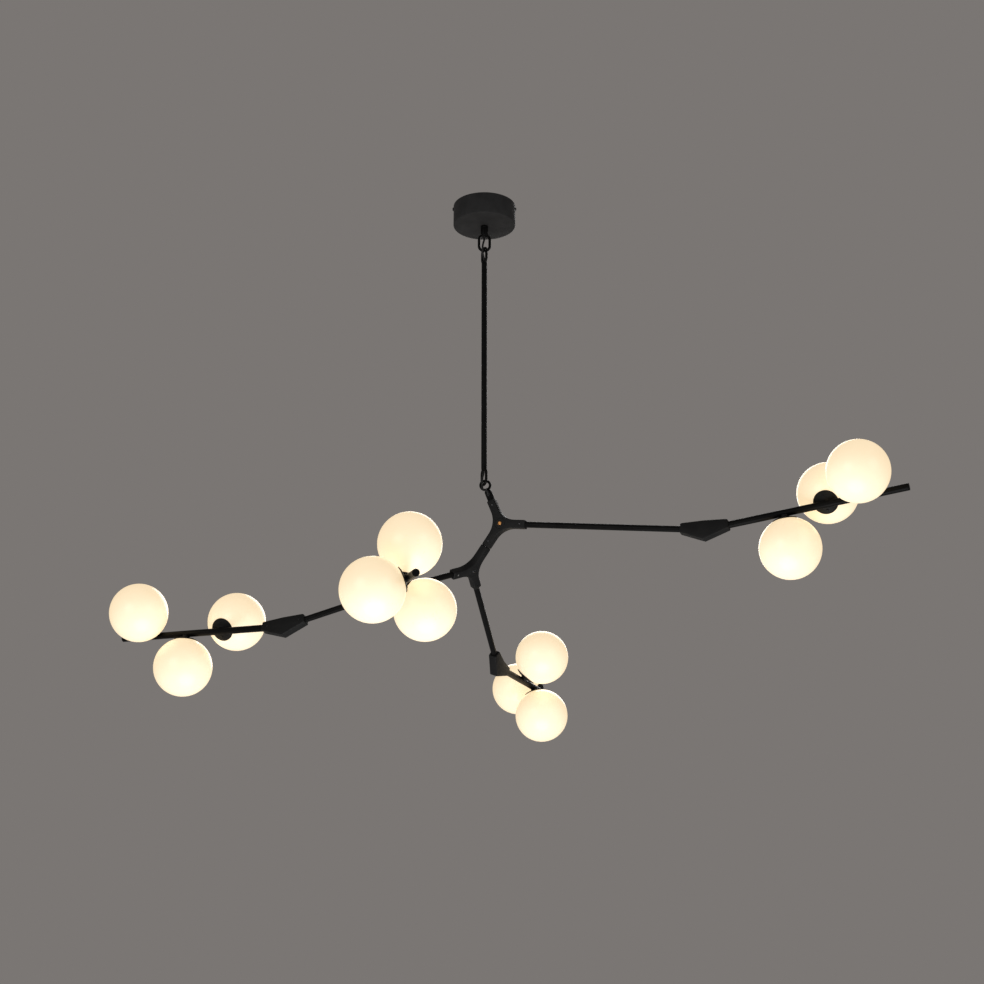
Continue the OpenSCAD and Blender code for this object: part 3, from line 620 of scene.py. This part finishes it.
eye_axis = (upper_fork_at.to_3x3() @ Vector((0, 0, 1))).normalized()
entry_on_axis = Vector((eye_side, 0, eye_z)) - 0.0235 * eye_axis
outward = Vector((-0.34, -0.94, 0))
outward = (outward - outward.dot(eye_axis) * eye_axis).normalized()
entry = entry_on_axis + 0.0072 * outward
grommet = turned("cable_grommet", [
    (0.0024, -0.0006), (0.0037, -0.0006), (0.0039, 0.0004), (0.0035, 0.0014), (0.0027, 0.0019),
    (0.0023, 0.0016), (0.0024, -0.0006)], sides=36, closed=True)
placed(softened(grommet), Matrix.Translation(entry) @ outward.to_track_quat('Z', 'Y').to_matrix().to_4x4())
dressed(grommet, "upper_frame", "cable_black", sheath.material)
nothing_selected()
lower_run = cable("supply_cable_lower", [
    (0, 0, stem_foot + 0.02), (0, 0, stem_foot - 0.005), (cable_x * 0.3, cable_y * 0.3, stem_foot - 0.0135),
    (cable_x * 0.95, cable_y * 0.95, foot_wire_z + 0.011), (cable_x, cable_y, foot_wire_z + 0.004),
    (cable_x, cable_y * 1.05, foot_wire_z - 0.004), (cable_x * 0.7, cable_y * 1.6, foot_wire_z - 0.0125),
    tuple(entry + 0.0046 * outward + Vector((0, 0, 0.0042))),
    tuple(entry + 0.0022 * outward + Vector((0, 0, 0.0006))),
    tuple(entry - 0.002 * outward)])
dressed(lower_run, None, "cable_black", sheath.material, "supply_cable")
foot_wire_z + 0.012
foot_wire_z - 0.014
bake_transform(lower_run)


# ---- Link tubes ----
# Straight black steel tubes, 12.5 mm across, one in each fork arm. They slide 29 mm into
# the sockets, so only their plain length shows.
def drawn_tube(name, radius, start, stop, wall=0.0012):
    span = stop - start
    tube = turned(name, [
        (radius - wall, start), (radius - 0.0003, start), (radius, start + 0.0003),
        (radius, start + span * 0.25), (radius, start + span * 0.5), (radius, start + span * 0.75),
        (radius, stop - 0.0003), (radius - 0.0003, stop), (radius - wall, stop), (radius - wall, start)],
        sides=48, closed=True)
    return softened(tube)


elbow_reach = 0.049
right_link, left_link, bottom_link = 0.437, 0.229, 0.338
right_link_at = upper_fork_at @ turn(120, 'Y')
bottom_link_at = middle_fork_at @ turn(120, 'Y')
left_link_at = left_fork_at @ turn(120, 'Y')
fork_floor, elbow_floor = arm_length - grip + 0.0003, elbow_reach - grip + 0.0003
for side, place, length in (("right", right_link_at, right_link), ("left", left_link_at, left_link),
                            ("bottom", bottom_link_at, bottom_link)):
    tube = drawn_tube(f"{side}_link_drawn", link_r, fork_floor, length - elbow_floor)
    dressed(placed(tube, place), f"{side}_arm", "tube_black", tube_coat, f"{side}_link_tube")
tube = drawn_tube("middle_tube_drawn", link_r, fork_floor, 2 * arm_length + middle_link - fork_floor)
dressed(placed(tube, middle_tube_at), "lower_frame", "tube_black", tube_coat, "middle_tube")


# ---- Elbows ----
# Cast aluminium blocks that set each bar at an angle to its link: flat sides, chamfered
# ends, a low crown inside the bend and a pointed keel outside it. Coated like the forks.
elbow_thick, end_half, crown, keel, shoulder_rise = 0.018, 0.00875, 0.017, 0.022, 0.0015


def elbow_casting(name, bend):
    """The elbow's outline as a flat face, pulled to its thickness, bevelled and bored."""
    def near(along, up):
        return Vector((up, 0, -along))

    def far(along, up):
        return Vector((along * sin(bend) + up * cos(bend), 0, along * cos(bend) - up * sin(bend)))

    def middle(up):
        return Vector((up * cos(bend / 2), 0, -up * sin(bend / 2)))

    shoulder = elbow_reach - 0.005
    outline = [near(elbow_reach, -end_half), middle(-keel), far(elbow_reach, -end_half),
               far(elbow_reach, end_half), far(shoulder, end_half + shoulder_rise), middle(crown),
               near(shoulder, end_half + shoulder_rise), near(elbow_reach, end_half)]
    nothing_selected()
    bpy.ops.mesh.primitive_circle_add(vertices=len(outline), radius=0.04, fill_type='NGON')
    block = just_made(name)
    for corner, point in zip(block.data.vertices, outline):
        corner.co = point + Vector((0, -elbow_thick / 2, 0))
    bpy.ops.object.mode_set(mode='EDIT')
    bpy.ops.mesh.select_mode(type='FACE')
    bpy.ops.mesh.select_all(action='SELECT')
    bpy.ops.mesh.extrude_region_move(TRANSFORM_OT_translate={"value": (0, elbow_thick, 0)})
    bpy.ops.mesh.select_all(action='SELECT')
    bpy.ops.mesh.normals_make_consistent(inside=False)
    bpy.ops.object.mode_set(mode='OBJECT')
    softened(block, width=0.0015, segments=4, angle=12)
    for place, socket_r in ((turn(180, 'X'), link_r), (Matrix.Rotation(bend, 4, 'Y'), bar_r)):
        mouth = turned("mouth", [
            (socket_r + socket_play, elbow_reach - grip), (socket_r + socket_play, elbow_reach - 0.0005),
            (socket_r + 0.0006, elbow_reach + 0.0001), (socket_r + 0.0006, elbow_reach + 0.004)], sides=48)
        cut(block, placed(mouth, place))
    for place in elbow_holes(bend):
        hole = turned("hole", [
            (grub_hole_r, 0.004), (grub_hole_r, elbow_thick / 2 - 0.0005),
            (0.0025, elbow_thick / 2 + 0.0001), (0.0025, elbow_thick / 2 + 0.003)], sides=28)
        cut(block, placed(hole, place))
    return softened(block)


def elbow_holes(bend):
    """Where the two grub screws go: +Z of each place points out of the side face."""
    along = elbow_reach - screw_inset
    return (turn(180, 'X') @ step(along) @ turn(-90, 'X'),
            Matrix.Rotation(bend, 4, 'Y') @ step(along) @ turn(90, 'X'))


bends = {"right": radians(14.5), "left": radians(14.5), "bottom": radians(26)}
right_elbow_turn, left_elbow_turn, bottom_elbow_turn = 169, 121, 161
elbow_places = {"right": right_link_at @ step(right_link) @ turn(right_elbow_turn, 'Z'),
                "left": left_link_at @ step(left_link) @ turn(left_elbow_turn, 'Z'),
                "bottom": bottom_link_at @ step(bottom_link) @ turn(bottom_elbow_turn, 'Z')}
for side, place in elbow_places.items():
    block = placed(elbow_casting(f"{side}_elbow_cast", bends[side]), place)
    dressed(block, f"{side}_arm", "cast_black", cast_coat, f"{side}_elbow")
    for i, (hole, socket_r) in enumerate(zip(elbow_holes(bends[side]), (link_r, bar_r))):
        grub = grub_screw(f"{side}_elbow_grub_{i + 1}", socket_r + 0.00035, elbow_thick / 2)
        dressed(placed(grub, place @ hole), f"{side}_arm", "screw_black", screw_black, f"{side}_elbow_screws")


# ---- Bars with their end caps ----
# Black steel tubes, 14 mm across, that carry three lamps each, 80 mm apart and a third of a
# turn round from one another. A turned cap closes the free end.
holder_pitch, tip_length, lamps_per_bar = 0.080, 0.080, 3
bar_places = {side: elbow_places[side] @ Matrix.Rotation(bends[side], 4, 'Y') for side in elbow_places}
bar_places["front"] = left_fork_at @ turn(-120, 'Y')
first_holder = {"right": 0.158, "left": 0.158, "bottom": 0.158, "front": 0.156}
first_phase = {"right": -167, "left": 49, "bottom": 22, "front": -58}
for side, place in bar_places.items():
    start = fork_floor if side == "front" else elbow_floor
    stop = first_holder[side] + (lamps_per_bar - 1) * holder_pitch + tip_length
    bar = drawn_tube(f"{side}_bar_drawn", bar_r, start, stop - 0.002)
    dressed(placed(bar, place), f"{side}_lamps", "tube_black", tube_coat, f"{side}_bar")
    cap = turned(f"{side}_cap_turned", [
        (0.0046, stop - 0.0095), (0.0056, stop - 0.0088), (0.0057, stop - 0.0021), (bar_r, stop - 0.0020),
        (bar_r, stop - 0.0008), (0.0067, stop - 0.0003), (0.0060, stop), (0.0030, stop)], sides=48)
    dressed(placed(softened(cap), place), f"{side}_lamps", "tube_black", tube_coat, f"{side}_bar_cap")


# ---- Cups behind the globes ----
# Spun steel saucers that follow the globe's curve, on a short saddle that sits on the bar.
# A hollow nipple runs from the saddle through the bar's wall, and two screws show behind.
globe_r, globe_reach, cup_r, cup_gap, cup_sheet, sleeve_r = 0.060, 0.070, 0.024, 0.0004, 0.0016, 0.011
cup_inner = globe_r + cup_gap
cup_outer = cup_inner + cup_sheet


def dish(sphere, radius):
    """Height over the bar's axis at which a sphere round the globe's centre has a radius."""
    return globe_reach - sqrt(sphere ** 2 - radius ** 2)


inside = [(r, dish(cup_inner, r)) for r in (0.0035, 0.008, 0.012, 0.016, 0.0195, 0.0225, 0.0235)]
outside = [(r, dish(cup_outer, r)) for r in (0.0238, 0.0222, 0.019, 0.0155, 0.012, 0.0092)]
rim = [(0.0240, dish(cup_inner, 0.0237) + 0.0003), (0.0240, dish(cup_outer, 0.0240) + 0.0002)]
neck = [(0.0080, dish(cup_outer, 0.0092) - 0.0006), (0.0075, dish(cup_outer, 0.008) - 0.0012),
        (0.0075, 0.0036), (0.0035, 0.0036), (0.0035, dish(cup_inner, 0.0035))]
cup = turned("cup", inside + rim + outside + neck, sides=96, closed=True)
saddle_bore = turned("saddle_bore", [(bar_r + 0.00005, -0.05), (bar_r + 0.00005, 0.05)], sides=64)
cut(cup, placed(saddle_bore, turn(90, 'Y')))
cup_screw = socket_screw("cup_screw", 0.0015, 0.003, 0.0026, 0.0012, 0.0009)
tack_out = 0.0155
screws = []
for around in (90, 270):
    tack = another(cup_screw, f"tack_{around}")
    lean = acos((globe_reach - dish(cup_outer, tack_out)) / cup_outer)
    placed(tack, turn(around, 'Z') @ Matrix.Translation((tack_out, 0, dish(cup_outer, tack_out)))
           @ Matrix.Rotation(-lean, 4, 'Y'))
    screws.append(tack)
bpy.data.objects.remove(cup_screw, do_unlink=True)
cup = softened(joined("cup", softened(cup), *screws))


def lamp_places(side):
    """Each lamp's place on a bar: +Z from the bar's axis to the globe's centre."""
    for i in range(lamps_per_bar):
        yield i + 1, (bar_places[side] @ step(first_holder[side] + i * holder_pitch)
                      @ turn(first_phase[side] + 120 * i, 'Z') @ turn(90, 'Y'))


def fitted_to_bars(model, part, slot, material, ending):
    """One copy of the lamp's piece at each of the twelve places."""
    for side in bar_places:
        for i, place in lamp_places(side):
            twin = placed(another(model, f"{side}_{part}_{i}"), place)
            dressed(twin, f"{side}_lamps", slot, material, f"{side}_{ending}")
    bpy.data.objects.remove(model, do_unlink=True)


fitted_to_bars(cup, "cup", "tube_black", cast_coat, "cups")


# ---- Lamp holders ----
# Glazed ceramic holders on the nipple, with a coarse thread on the sleeve that passes
# through the glass. The bulb's pins plug into the face inside the globe.
seat = globe_reach - sqrt((globe_r + cup_gap) ** 2 - sleeve_r ** 2) + 0.0001
holder_length = 0.028
threads = [(sleeve_r - 0.0014, seat), (sleeve_r - 0.0003, seat + 0.0006), (sleeve_r, seat + 0.0016)]
for i in range(9):
    crest = seat + 0.0042 + i * 0.0024
    threads += [(sleeve_r, crest - 0.0006), (sleeve_r - 0.0006, crest), (sleeve_r - 0.0006, crest + 0.0006),
                (sleeve_r, crest + 0.0012)]
threads += [(sleeve_r, seat + holder_length - 0.0010), (sleeve_r - 0.0008, seat + holder_length),
            (sleeve_r - 0.0030, seat + holder_length)]
holder = turned("holder", threads, sides=48)
glaze = Finish("holder_glaze", Specular_IOR_Level=0.5, Coat_Weight=0.3, Coat_Roughness=0.12)
clay = glaze.noise(60, 3.0)
glaze.give('Base Color', glaze.mixed(clay, (0.86, 0.84, 0.80, 1), (0.80, 0.77, 0.72, 1)))
glaze.give('Roughness', 0.3 + 0.15 * clay)
glaze.bump(glaze.noise(700, 2.0), 0.25, 0.0001)
fitted_to_bars(softened(holder), "lamp_holder", "holder_ceramic", glaze.material, "lamp_holders")


# ---- Retaining rings ----
# White plastic ring nuts run up the sleeve inside the globe and press the glass to the cup.
ring_outer = sleeve_r + 0.006
ring_seat = globe_reach - sqrt((globe_r - 0.003) ** 2 - ring_outer ** 2) + 0.0001
nut = turned("ring", [
    (sleeve_r + 0.00005, ring_seat), (ring_outer - 0.0012, ring_seat), (ring_outer, ring_seat + 0.0008),
    (ring_outer, ring_seat + 0.0022), (ring_outer - 0.0010, ring_seat + 0.0036),
    (ring_outer - 0.003, ring_seat + 0.004), (sleeve_r + 0.0008, ring_seat + 0.004),
    (sleeve_r + 0.00005, ring_seat + 0.0034), (sleeve_r + 0.00005, ring_seat)],
    sides=60, closed=True)
nylon = moulded("ring_nylon", (0.86, 0.84, 0.79), (0.80, 0.78, 0.72), 0.4)
fitted_to_bars(softened(nut), "ring", "ring_plastic", nylon, "rings")


# ---- Bulbs ----
# Pin-base bulbs with a frosted dome, lit warm white. They show only as the glow of the
# globes, so their own shape is seen with a globe off.
bulb_r, bulb_length = 0.008, 0.046
bulb_foot = seat + holder_length + 0.0001
dome = [(bulb_r * cos(radians(a)), bulb_foot + bulb_length - bulb_r + bulb_r * sin(radians(a)))
        for a in (0, 15, 30, 45, 60, 75, 86)]
bulb = turned("bulb", [
    (0.0060, bulb_foot), (0.0066, bulb_foot + 0.0005), (0.0068, bulb_foot + 0.008),
    (0.0073, bulb_foot + 0.0095), (0.0079, bulb_foot + 0.0105), (bulb_r, bulb_foot + 0.012),
    (bulb_r, bulb_foot + 0.024)] + dome, sides=40)
pins = []
for side in (-1, 1):
    pin = turned(f"pin_{side}", [
        (0.0005, bulb_foot - 0.006), (0.0007, bulb_foot - 0.0056), (0.0007, bulb_foot + 0.001)], sides=16)
    pins.append(placed(pin, Matrix.Translation((side * 0.0045, 0, 0))))
bulb = softened(joined("bulb", bulb, *pins))
frost = Finish("bulb_frost", Emission_Strength=1.0)
grainy = frost.noise(500, 2.0)
frost.give('Base Color', frost.mixed(grainy, (0.95, 0.90, 0.80, 1), (0.90, 0.84, 0.74, 1)))
frost.give('Emission Color', frost.mixed(grainy, (1.0, 0.87, 0.68, 1), (1.0, 0.83, 0.62, 1)))
frost.give('Roughness', 0.45 + 0.15 * grainy)
frost.bump(grainy, 0.2, 0.00008)
fitted_to_bars(bulb, "bulb", "bulb_white", frost.material, "bulbs")


# ---- Globes ----
# Mouth-blown opal glass, 120 mm across with a 3 mm wall and one round hole at the cup. The
# lit glass glows a warm white that varies a little, as blown opal does.
hole_r = sleeve_r + 0.0008
globe_bore = globe_r - 0.003
pole_gap = 0.012


def arc(sphere, first, last, count):
    """Rings of a sphere round the globe's centre, between two angles from its near pole."""
    return [(sphere * sin(a), globe_reach - sphere * cos(a))
            for a in (first + (last - first) * i / count for i in range(count + 1))]


outer = arc(globe_r, asin(hole_r / globe_r) + pole_gap, pi - pole_gap, 46)
inner = arc(globe_bore, asin(hole_r / globe_bore) + pole_gap, pi - pole_gap, 46)
lip = [(hole_r, globe_reach - globe_bore * cos(asin(hole_r / globe_bore)) - 0.0008),
       (hole_r, globe_reach - globe_r * cos(asin(hole_r / globe_r)) + 0.0006)]
shell = turned("globe", inner[::-1] + lip + outer, sides=112)
glass = Finish("opal_glass_lit", Specular_IOR_Level=0.5, Emission_Strength=1.0)
cloudy = glass.noise(14, 3.0)
fine = glass.noise(160, 2.0)
glass.give('Base Color', glass.mixed(cloudy, (0.80, 0.77, 0.70, 1), (0.76, 0.72, 0.64, 1)))
glass.give('Emission Color', glass.mixed(cloudy, (0.74, 0.56, 0.32, 1), (0.71, 0.525, 0.285, 1)))
glass.give('Roughness', 0.24 + 0.1 * fine)
glass.bump(glass.noise(30, 2.0), 0.06, 0.0006)
fitted_to_bars(softened(shell), "globe", "opal_glass", glass.material, "globes")


# ---- Room ----
# A plain backdrop of the photograph's grey all round, a pale floor far below that shows
# only from above, and large soft lamps that leave a colour as it is written.
backdrop = (0.195, 0.181, 0.172)
room = bpy.data.worlds.new("room")
bpy.context.scene.world = room
room.use_nodes = True
room.node_tree.nodes.clear()
add, tie = room.node_tree.nodes.new, room.node_tree.links.new
seen, fill = add('ShaderNodeBackground'), add('ShaderNodeBackground')
choice, end = add('ShaderNodeMixShader'), add('ShaderNodeOutputWorld')
seen.inputs['Color'].default_value = (*backdrop, 1)
fill.inputs['Color'].default_value = (0.92, 0.95, 1.0, 1)
fill.inputs['Strength'].default_value = 0.20
rays = add('ShaderNodeLightPath')
either, or_through = add('ShaderNodeMath'), add('ShaderNodeMath')
either.operation = or_through.operation = 'MAXIMUM'
tie(rays.outputs['Is Camera Ray'], either.inputs[0])
tie(rays.outputs['Is Glossy Ray'], either.inputs[1])
tie(either.outputs[0], or_through.inputs[0])
tie(rays.outputs['Is Transmission Ray'], or_through.inputs[1])
tie(or_through.outputs[0], choice.inputs[0])
tie(fill.outputs[0], choice.inputs[1])
tie(seen.outputs[0], choice.inputs[2])
tie(choice.outputs[0], end.inputs['Surface'])


def soft_lamp(name, place, aim, size, power):
    lamp = bpy.data.lights.new(name, 'AREA')
    lamp.shape, lamp.size, lamp.energy = 'DISK', size, power
    holder = bpy.data.objects.new(name, lamp)
    holder.location = place
    holder.visible_camera = False
    holder.rotation_euler = (Vector(aim) - Vector(place)).to_track_quat('-Z', 'Y').to_euler()
    bpy.context.scene.collection.objects.link(holder)


soft_lamp("lamp_front_left", (-2.4, -3.2, -0.4), (0, 0, -0.7), 2.2, 22)
soft_lamp("lamp_front_right", (2.8, -2.6, -0.2), (0, 0, -0.7), 2.0, 12)
soft_lamp("lamp_below", (0.1, -0.8, -2.55), (0.1, -0.5, -0.4), 2.0, 26)
soft_lamp("lamp_behind", (0.5, 3.2, 0.8), (0, 0, -0.8), 2.4, 40)

nothing_selected()
floor_size, floor_z = 14, -2.75
bpy.ops.mesh.primitive_plane_add(size=floor_size, location=(0, 0, floor_z))
floor = just_made("floor")
paint = Finish("floor_paint", Roughness=0.8)
paint.give('Base Color', paint.mixed(paint.noise(2, 2.0), (0.80, 0.78, 0.76, 1), (0.76, 0.74, 0.72, 1)))
clear = paint.tree.nodes.new('ShaderNodeBsdfTransparent')
facing = paint.tree.nodes.new('ShaderNodeMixShader')
paint.tree.links.new(paint.node('ShaderNodeNewGeometry', out='Backfacing').socket, facing.inputs[0])
paint.tree.links.new(paint.shader.outputs[0], facing.inputs[1])
paint.tree.links.new(clear.outputs[0], facing.inputs[2])
paint.tree.links.new(facing.outputs[0], paint.tree.nodes['Material Output'].inputs['Surface'])
floor.data.materials.append(paint.material)

bpy.context.scene.view_settings.view_transform = 'Standard'
